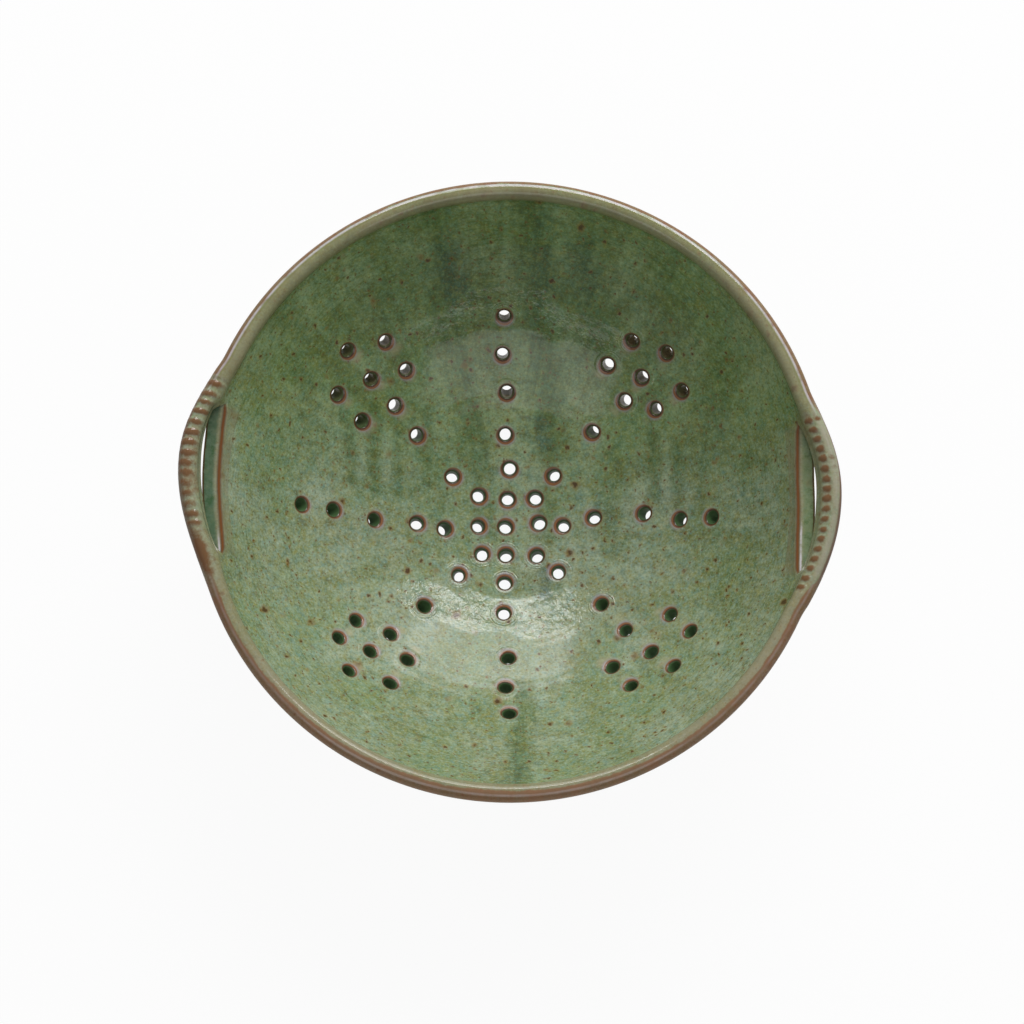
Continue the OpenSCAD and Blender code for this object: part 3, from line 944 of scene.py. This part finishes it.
class Finish:
    """One material, built node by node."""

    def __init__(self, name):
        self.material = bpy.data.materials.new(name)
        self.material.use_nodes = True
        self.tree = self.material.node_tree
        self.tree.nodes.clear()
        self.colour = None

    def node(self, kind, settings=None, sockets=None):
        made = self.tree.nodes.new(kind)
        for key, value in (settings or {}).items():
            setattr(made, key, value)
        for key, value in (sockets or {}).items():
            if isinstance(value, Val):
                self.tree.links.new(value.socket, made.inputs[key])
            else:
                made.inputs[key].default_value = value
        return Made(self, made)

    def mix(self, share, first, second):
        """Colour between first and second, by share."""
        return self.node("ShaderNodeMix", {"data_type": "RGBA"}, {0: share, 6: first, 7: second})[2]

    def coat(self, share, over):
        """Lays another colour over the colour so far, by share."""
        self.colour = self.mix(share, self.colour, over)

    def vector(self, operation, first, second):
        return self.node("ShaderNodeVectorMath", {"operation": operation}, {0: first, 1: second})["Vector"]

    def place(self, x, y, z):
        return self.node("ShaderNodeCombineXYZ", {}, {"X": x, "Y": y, "Z": z})["Vector"]

    def noise(self, place, size, detail=3.0, rough=0.5, twist=0.0):
        """Cloudy pattern from 0 to 1 with lumps of about that size, in the units of place."""
        sockets = {"Vector": place, "Scale": 1 / size, "Detail": detail, "Roughness": rough}
        sockets["Distortion"] = twist
        return self.node("ShaderNodeTexNoise", {}, sockets)[0]

    def painted(self, name):
        return self.node("ShaderNodeAttribute", {"attribute_name": name})["Fac"]

    def blend(self, share, first, second):
        """Two shaders mixed by share."""
        return self.node("ShaderNodeMixShader", {}, {0: share, 1: first[0], 2: second[0]})

    def shown(self, shader):
        self.node("ShaderNodeOutputMaterial", {}, {"Surface": shader[0]})
        return self.material


# Colours of the glaze where it lies thin, as usual, thick, and run together
SAGE = srgb(126, 148, 107)
PALE_SAGE = srgb(161, 174, 150)
TEAL = srgb(92, 134, 108)
GREY_TEAL = srgb(108, 146, 142)
OLIVE = srgb(112, 114, 54)
OCHRE = srgb(146, 142, 74)
DEEP_GREEN = srgb(47, 84, 28)
FACE_GREEN = srgb(58, 92, 66)
RIGHT_FACE_GREEN = srgb(98, 122, 84)
SEA_BLUE = srgb(50, 84, 96)
BORE_GREEN = srgb(68, 98, 60)
# Painted light: paler grey-brown for the far bores, where light falls in them
LIT_BORE_GREY = srgb(104, 86, 60)
RING_ORANGE = srgb(142, 88, 40)
CREAM = srgb(178, 170, 138)
LILAC = srgb(160, 146, 152)
# Painted highlights on the rim and the knife's cut
HIGHLIGHT_LILAC = srgb(205, 200, 206)
EDGE_BROWN = srgb(122, 78, 52)
DEEP_BROWN = srgb(66, 42, 28)
CUT_BROWN = srgb(116, 66, 24)
BEAD_BROWN = srgb(112, 72, 38)
DARK_BROWN = srgb(74, 50, 26)
RUST = srgb(134, 98, 44)
RIM_BEIGE = srgb(144, 132, 104)
PALE_BEIGE = srgb(164, 160, 140)
DARK_EDGE = srgb(96, 60, 38)
# Painted light on the brown of the near rim
NEAR_LIT_BROWN = srgb(156, 116, 86)
WHITE = (1.0, 1.0, 1.0, 1.0)
# Painted shade in part: the far wall is a darker, warmer green, where its colour is multiplied by this
FAR_SHADE_TINT = (0.9, 1.0, 0.74, 1.0)


def in_mm(f):
    """Place on the piece in millimetres."""
    spot = f.node("ShaderNodeTexCoord")["Object"]
    return f.node("ShaderNodeVectorMath", {"operation": "SCALE"}, {0: spot, "Scale": 1000.0})["Vector"]


def specks(f, place, grain, cell, radius, share, flat, strength):
    """Iron specks about so many millimetres in radius, each with a rusty edge, in a share of the cells."""
    stretched = f.vector("MULTIPLY", place, (1.0, 1.0, flat))
    sockets = {"Vector": stretched, "Scale": 1 / cell, "Randomness": 1.0}
    found = f.node("ShaderNodeTexVoronoi", {}, sockets)
    lot = f.node("ShaderNodeSeparateColor", {}, {0: found["Color"]})
    chosen = lot[0].ramp(1 - share, 1.02 - share) * strength
    away = found["Distance"] * cell / (radius * (0.55 + lot[1] * 0.9)) + (grain - 0.5) * 1.1
    f.coat(away.ramp(1.0, 2.0, 1, 0) * chosen * 0.6, RUST)
    f.coat(away.ramp(0.55, 1.25, 1, 0) * chosen, DARK_BROWN)


def glaze_finish(name, freed_brown=1.2):
    """Green glaze, dark where it ran and where shade over the far wall is painted in, and brown where
    it breaks. On a freed strap the brown starts freed_brown outward from the top of the crest."""
    f = Finish(name)
    place = in_mm(f)
    axes = f.node("ShaderNodeSeparateXYZ", {}, {0: place})
    x, y, z = axes["X"], axes["Y"], axes["Z"]
    reach = (x * x + y * y) ** 0.5
    even = reach.at_least(12.0)
    away = reach.ramp(14, 46)
    along_wall = f.place(x / even * 60, y / even * 60, z * 0.14)
    round_wall = f.place(x / even * 9, y / even * 9, z * 1.5)
    lip, mouth, fall, cream, bead, cut, knife = map(f.painted, PLAIN)
    dark, blue, pale, wrinkle, lines = map(f.painted, STROKES)

    cloud = f.noise(place, 24.0, 3.0, 0.55)
    blotch = f.noise(place, 7.0, 4.0, 0.6)
    swirl = f.noise(place, 6.0, 4.0, 0.62, 1.6)
    mottle = f.noise(place, 2.6, 5.0, 0.66)
    grain = f.noise(place, 0.8, 3.0, 0.7)
    hue = f.noise(f.vector("ADD", place, (40.0, 0.0, 0.0)), 1.5, 4.0, 0.8)
    tint = f.noise(f.vector("ADD", place, (0.0, 70.0, 0.0)), 3.4, 4.0, 0.7, 0.6)
    runs = f.noise(along_wall, 9.0, 4.0, 0.6)
    streaks = f.noise(along_wall, 2.6, 3.0, 0.65)
    rings = f.noise(round_wall, 1.0, 3.0, 0.7)

    f.colour = f.mix(cloud.ramp(0.35, 0.68), SAGE, PALE_SAGE)
    f.coat(runs.ramp(0.42, 0.7, 0, 0.5) * away, OLIVE)
    # Dark strokes: glaze that ran thick, and painted shade over the far wall
    thick_glaze_and_shade = dark + (streaks - 0.5) * 0.55 * away + (blotch - 0.5) * 0.5
    f.coat((thick_glaze_and_shade * dark.ramp(0.04, 0.3)).ramp(-0.05, 0.95), DEEP_GREEN)
    light = 1 - dark.ramp(0.0, 0.6) * 0.65
    f.coat(swirl.ramp(0.5, 0.66, 0, 0.4), TEAL)
    f.coat(swirl.ramp(0.5, 0.34, 0, 0.3) * light, PALE_SAGE)
    f.coat((blue * (mottle * 1.6 + blotch - 0.4)).ramp(0.1, 0.9) * 0.6, SEA_BLUE)
    f.coat((pale * (mottle * 1.4 + blotch - 0.4)).ramp(0.1, 0.8) * 0.6, PALE_SAGE)
    f.coat(blotch.ramp(0.45, 0.7, 0, 0.3), OLIVE)
    f.coat(mottle.ramp(0.47, 0.74, 0, 0.45), DEEP_GREEN)
    f.coat(mottle.ramp(0.5, 0.24, 0, 0.45) * light, PALE_SAGE)
    f.coat(tint.ramp(0.5, 0.72, 0, 0.5) * (0.6 + light * 0.4), OCHRE)
    f.coat(tint.ramp(0.5, 0.28, 0, 0.4) * (0.2 + light * 0.8), GREY_TEAL)
    f.coat(hue.ramp(0.5, 0.68, 0, 0.65) * (0.5 + light * 0.5), OCHRE)
    f.coat(hue.ramp(0.5, 0.32, 0, 0.6) * (0.2 + light * 0.8), GREY_TEAL)
    f.coat(grain.ramp(0.5, 0.72, 0, 0.6), OLIVE)
    f.coat(grain.ramp(0.5, 0.28, 0, 0.6) * light, PALE_SAGE)
    f.coat(rings.ramp(0.52, 0.72, 0, 0.4) * reach.ramp(62, 84), DEEP_GREEN)
    drawn_lines = (lines * (mottle + 0.4)).ramp(0.2, 0.9) * rings.ramp(0.47, 0.66, 0, 0.5)
    f.coat(drawn_lines, DEEP_GREEN)
    tone = 1 - (grain - 0.5) * (0.5 + dark) - (mottle - 0.5) * (0.2 + dark * 1.2)
    tone = tone - (streaks - 0.5) * dark * away
    f.colour = f.vector("MULTIPLY", f.colour, tone)
    # Painted shade in part: the far wall's colour is made darker and warmer
    f.colour = f.vector("MULTIPLY", f.colour, f.mix(y.ramp(0, 40), WHITE, FAR_SHADE_TINT))

    wander = f.node("ShaderNodeTexNoise", {}, {"Vector": place, "Scale": 0.55})["Color"]
    strayed_place = f.vector("ADD", place, f.vector("MULTIPLY", wander, (2.2, 2.2, 2.2)))
    for cell, radius, share, flat, strength in (
        (1.5, 0.24, 0.55, 1.0, 0.6),
        (3.3, 0.42, 0.55, 0.8, 0.85),
        (7.5, 0.8, 0.3, 0.5, 0.9),
    ):
        specks(f, strayed_place, grain, cell, radius, share, flat, strength)

    # Round the drain holes: cream runs, a lilac halo down the slope, a brown edge with an orange line in
    # it, and thick glaze inside, painted a paler grey-brown on the far wall to stand in for light in those
    # bores
    f.coat((cream * (mottle * 1.5 + 0.2)).ramp(0.1, 0.9) * 0.6, CREAM)
    halo = mouth.ramp(3.2, 4.5, 1, 0) * fall.ramp(-0.5, 0.9, 0.1, 1.0)
    f.coat(halo * mottle.ramp(0.25, 0.6, 0.1, 0.75), LILAC)
    edge = mouth + (mottle - 0.5) * 0.6 + (grain - 0.5) * 0.25 - fall * 0.25
    far = y.ramp(20, 42)
    grown = y.ramp(-20, 20, 0.12, 0.33)
    f.coat((edge - grown).ramp(3.0, 2.68) * y.ramp(-20, 20, 0.7, 0.85), EDGE_BROWN)
    f.coat((mouth - grown * 0.4).ramp(2.72, 2.4) * 0.8, DEEP_BROWN)
    f.coat((mouth - grown).hump(2.62, 0.38) * fall.ramp(-0.2, 0.8, 0.0, 0.8), RING_ORANGE)
    f.coat(mouth.ramp(2.3, 2.05) * 0.95, BORE_GREEN)
    # Painted light: the far bores are made paler, standing in for light and the floor's reflection in them
    f.coat(mouth.ramp(2.2, 1.8) * far * (0.5 + streaks.ramp(0.3, 0.7) * 0.5), LIT_BORE_GREY)

    # Rim: thin beige glaze inside the crest, brown over its outer side, made paler on the near side as
    # painted light, and a painted highlight of pale lilac between the two
    sway = (runs - 0.5) * 1.6 + (mottle - 0.5) * 1.2
    rim = lip + sway
    beige = rim.ramp(-6.6, -4.2) * rim.ramp(1.4, 0.6) * (1 - knife * 0.75)
    f.coat(beige * (0.4 + cloud * 0.55), RIM_BEIGE)
    f.coat(lip.hump(0.4, 0.7) * y.ramp(-60, 20, 0.0, 0.35) * (1 - knife), OLIVE)
    start = 0.4 + y * 0.01
    over = rim - start - knife * (freed_brown - start)
    brown = over.ramp(-0.1, 0.5) * over.ramp(8.0, 5.0)
    # Painted light: the brown over the near side of the rim is made paler, standing in for light on it
    edge_brown_lit_near = f.mix(y.ramp(0, -80, 0, 0.6) * streaks.ramp(0.3, 0.7, 1.0, 0.5), EDGE_BROWN, NEAR_LIT_BROWN)
    f.coat(brown * streaks.ramp(0.2, 0.65, 0.95, 0.75), edge_brown_lit_near)
    # Painted highlight: a pale lilac line on the outer crest, strongest on the far side, weaker on the
    # straps
    rim_highlight = lip.hump(1.15, 0.7) * y.ramp(-40, 50, 0.15, 0.75) * blotch.ramp(0.35, 0.55, 0.35, 1.0)
    f.coat(knife * lip.ramp(8.0, 6.0) * (0.25 + blotch.ramp(0.35, 0.6) * 0.3), RIM_BEIGE)
    f.coat(rim_highlight * (1 - knife * 0.6), HIGHLIGHT_LILAC)

    # The knife's cut: dark green over its face, darker on the left strap than on the right, brown over its
    # two corners, and a painted glint of pale lilac beside the inner one toward the near side
    across = cut + (mottle - 0.5) * 0.05
    face = across.ramp(0.22, 0.5) * across.ramp(1.15, 1.0) * x.ramp(-20, 20, 0.85, 0.7)
    face_green = f.mix(x.ramp(-20, 20), FACE_GREEN, RIGHT_FACE_GREEN)
    f.coat(face * (0.55 + mottle * 0.8) * knife, face_green)
    f.coat(face * mottle.ramp(0.5, 0.72, 0, 0.6) * knife, DEEP_GREEN)
    f.coat(across.hump(0.1, 0.45) * knife * 0.5, RIM_BEIGE)
    f.coat(across.hump(0.12, 0.22) * knife * 0.9, DARK_BROWN)
    f.coat(across.hump(0.12, 0.12) * knife * 0.9, CUT_BROWN)
    # Painted glint beside the brown inner corner, toward the near side
    glint = across.hump(0.3, 0.09) * (y - x * 0.05).ramp(-10, -17) * streaks.ramp(0.3, 0.5, 0.3, 0.9)
    f.coat(glint * knife, HIGHLIGHT_LILAC)
    f.coat(across.hump(0.95, 0.08).ramp(0.0, 0.6) * knife * 0.85, DARK_BROWN)

    # Beads: the glaze breaks brown on each bead and stays pale in the grooves
    bare = bead + (mottle - 0.5) * 0.7 + (blotch - 0.5) * 0.6 + (grain - 0.5) * 0.3
    outer_half = lip.ramp(-0.7, 0.5) * x.ramp(-20, 20) * knife
    f.coat(outer_half * mottle.ramp(0.3, 0.6, 0.25, 0.7), PALE_BEIGE)
    outer_line = (lip + sway * 0.4 - x.ramp(-20, 20, 0.9, 1.7) - y.ramp(-5, 15, 0.0, 0.8)).ramp(0.0, 1.1)
    f.coat(knife * outer_line * lip.ramp(8.0, 6.0) * 0.85, DARK_EDGE)
    f.coat(bead.ramp(0.02, 0.2) * 0.3, PALE_SAGE)
    f.coat(bare.ramp(0.05, x.ramp(-20, 20, 0.55, 0.7)) * 0.9, BEAD_BROWN)

    # Surface, in millimetres: long ripples, wrinkles, throwing rings, and rings of glaze round the holes
    ripple = f.noise(place, 9.0, 2.0, 0.5)
    crinkle = f.noise(strayed_place, 2.2, 2.0, 0.5, 0.6)
    pools = f.node("ShaderNodeMath", {"operation": "SINE"}, {0: mouth * 7.5 + mottle * 2.0})[0]
    pools = pools * mouth.ramp(2.9, 3.3) * mouth.ramp(5.6, 4.4) * (0.005 + wrinkle * 0.03)
    height = ripple * (0.06 + wrinkle * 0.3) + crinkle * (0.015 + wrinkle * 0.2) + pools
    height = height + rings * lines * 0.05 + grain * 0.006 + mottle * 0.012 + rings * 0.02 * away
    bump = f.node("ShaderNodeBump", {}, {"Strength": 1.0, "Distance": 0.001, "Height": height})["Normal"]
    rough = mottle.ramp(0.3, 0.8, 0.1, 0.2)
    sockets = {"Base Color": f.colour, "Roughness": rough, "Normal": bump, "IOR": 1.62}
    shiny = f.node("ShaderNodeBsdfPrincipled", {}, sockets)
    sockets = {"Base Color": f.colour, "Roughness": 0.5, "Specular IOR Level": 0.12}
    dull = f.node("ShaderNodeBsdfPrincipled", {}, sockets)
    # The glaze is duller inside the bores, and where it lies thin over the outer side of the rim
    dry = mouth.ramp(2.4, 1.9) * (1 - far * 0.55) + lip.ramp(1.4, 2.8) * lip.ramp(16, 10) * 0.85
    return f.shown(f.blend(dry.at_most(1.0), shiny, dull))


def stoneware_finish(name):
    """Bare fired clay: warm brown and sandy, darker where it was turned."""
    f = Finish(name)
    place = in_mm(f)
    cloud = f.noise(place, 14.0, 4.0, 0.6)
    sand = f.noise(place, 0.5, 3.0, 0.7)
    z = f.node("ShaderNodeSeparateXYZ", {}, {0: place})["Z"]
    lines = f.noise(f.place(0.0, 0.0, z * 3.0), 1.0, 3.0, 0.6)
    f.colour = f.mix(cloud.ramp(0.3, 0.7), srgb(150, 116, 84), srgb(122, 88, 62))
    f.coat(sand.ramp(0.5, 0.8, 0, 0.6), srgb(92, 62, 42))
    f.coat(lines.ramp(0.5, 0.8, 0, 0.3), srgb(172, 142, 108))
    height = sand * 0.6 + lines * 0.8
    bump = f.node("ShaderNodeBump", {}, {"Strength": 0.5, "Distance": 0.0003, "Height": height})["Normal"]
    sockets = {"Base Color": f.colour, "Roughness": sand.ramp(0.3, 0.7, 0.72, 0.92), "Normal": bump}
    return f.shown(f.node("ShaderNodeBsdfPrincipled", {}, sockets))


bowl.data.materials.append(glaze_finish("green_glaze"))
left_strap.data.materials.append(glaze_finish("left_strap_glaze", 2.1))
right_strap.data.materials.append(glaze_finish("right_strap_glaze", 2.9))
foot.data.materials.append(stoneware_finish("bare_stoneware"))

# Studio

scene = bpy.context.scene
camera = bpy.data.objects.new("camera", bpy.data.cameras.new("camera"))
scene.collection.objects.link(camera)
scene.camera = camera
# Where the photo was taken from: angles, and reach in metres from the middle of the rim
CAMERA_ELEVATION = math.radians(77.65)
CAMERA_TURN = math.radians(1.95)
CAMERA_REACH = 1.1
back_way = Vector(
    (
        math.sin(CAMERA_TURN) * math.cos(CAMERA_ELEVATION),
        -math.cos(CAMERA_TURN) * math.cos(CAMERA_ELEVATION),
        math.sin(CAMERA_ELEVATION),
    )
)
camera.location = Vector((0, 0, HEIGHT * MM)) + back_way * CAMERA_REACH
camera.rotation_mode = "QUATERNION"
camera.rotation_quaternion = (-back_way).to_track_quat("-Z", "Y")
camera.data.sensor_width = 36.0
camera.data.lens = 123.3
camera.data.shift_x = 0.00195
camera.data.shift_y = -0.02707


def lamp(name, turn, elevation, away, size, height, glow, shown=True):
    """A soft lamp that faces the bowl from a direction in degrees. Turn 0 is the near side, 90 the right. A
    lamp that isn't shown lights the glaze without a reflection of its own."""
    data = bpy.data.lights.new(name, "AREA")
    data.shape, data.size, data.size_y = "RECTANGLE", size, height
    data.energy = glow * math.pi * size * height
    made = bpy.data.objects.new(name, data)
    a, e = math.radians(turn), math.radians(elevation)
    way = Vector((math.sin(a) * math.cos(e), -math.cos(a) * math.cos(e), math.sin(e)))
    made.location = Vector((0, 0, 0.03)) + way * away
    made.rotation_euler = (-way).to_track_quat("-Z", "Y").to_euler()
    made.visible_camera = False
    made.visible_glossy = shown
    scene.collection.objects.link(made)


lamp("far_softbox", 175.5, 30, 1.2, 0.95, 0.62, 2.0)
lamp("far_strip", 175.5, 45, 1.2, 0.95, 0.13, 6.0)
lamp("near_softbox", -4, 50, 1.2, 1.4, 0.58, 0.85)
lamp("far_key", 164, 38, 1.5, 1.2, 1.0, 4.2, shown=False)
lamp("near_fill", 2, 12, 1.5, 1.6, 0.4, 0.8, shown=False)

world = bpy.data.worlds.new("studio")
scene.world = world
world.use_nodes = True
world.node_tree.nodes["Background"].inputs["Color"].default_value = WHITE
world.node_tree.nodes["Background"].inputs["Strength"].default_value = 0.22

paper = bpy.data.meshes.new("white_paper")
paper.from_pydata([(-4, -4, 0), (4, -4, 0), (4, 4, 0), (-4, 4, 0)], [], [(0, 1, 2, 3)])
floor = bpy.data.objects.new("white_paper", paper)
scene.collection.objects.link(floor)
f = Finish("white_paper")
rays = f.node("ShaderNodeLightPath")
seen = rays["Is Camera Ray"].at_least(rays["Is Glossy Ray"]).at_least(rays["Is Transmission Ray"])
white = f.node("ShaderNodeEmission", {}, {"Color": WHITE, "Strength": 1.0})
card = f.node("ShaderNodeBsdfDiffuse", {}, {"Color": (0.8, 0.8, 0.8, 1)})
paper.materials.append(f.shown(f.blend(seen * 0.94, card, white)))

scene.view_settings.view_transform = "Standard"
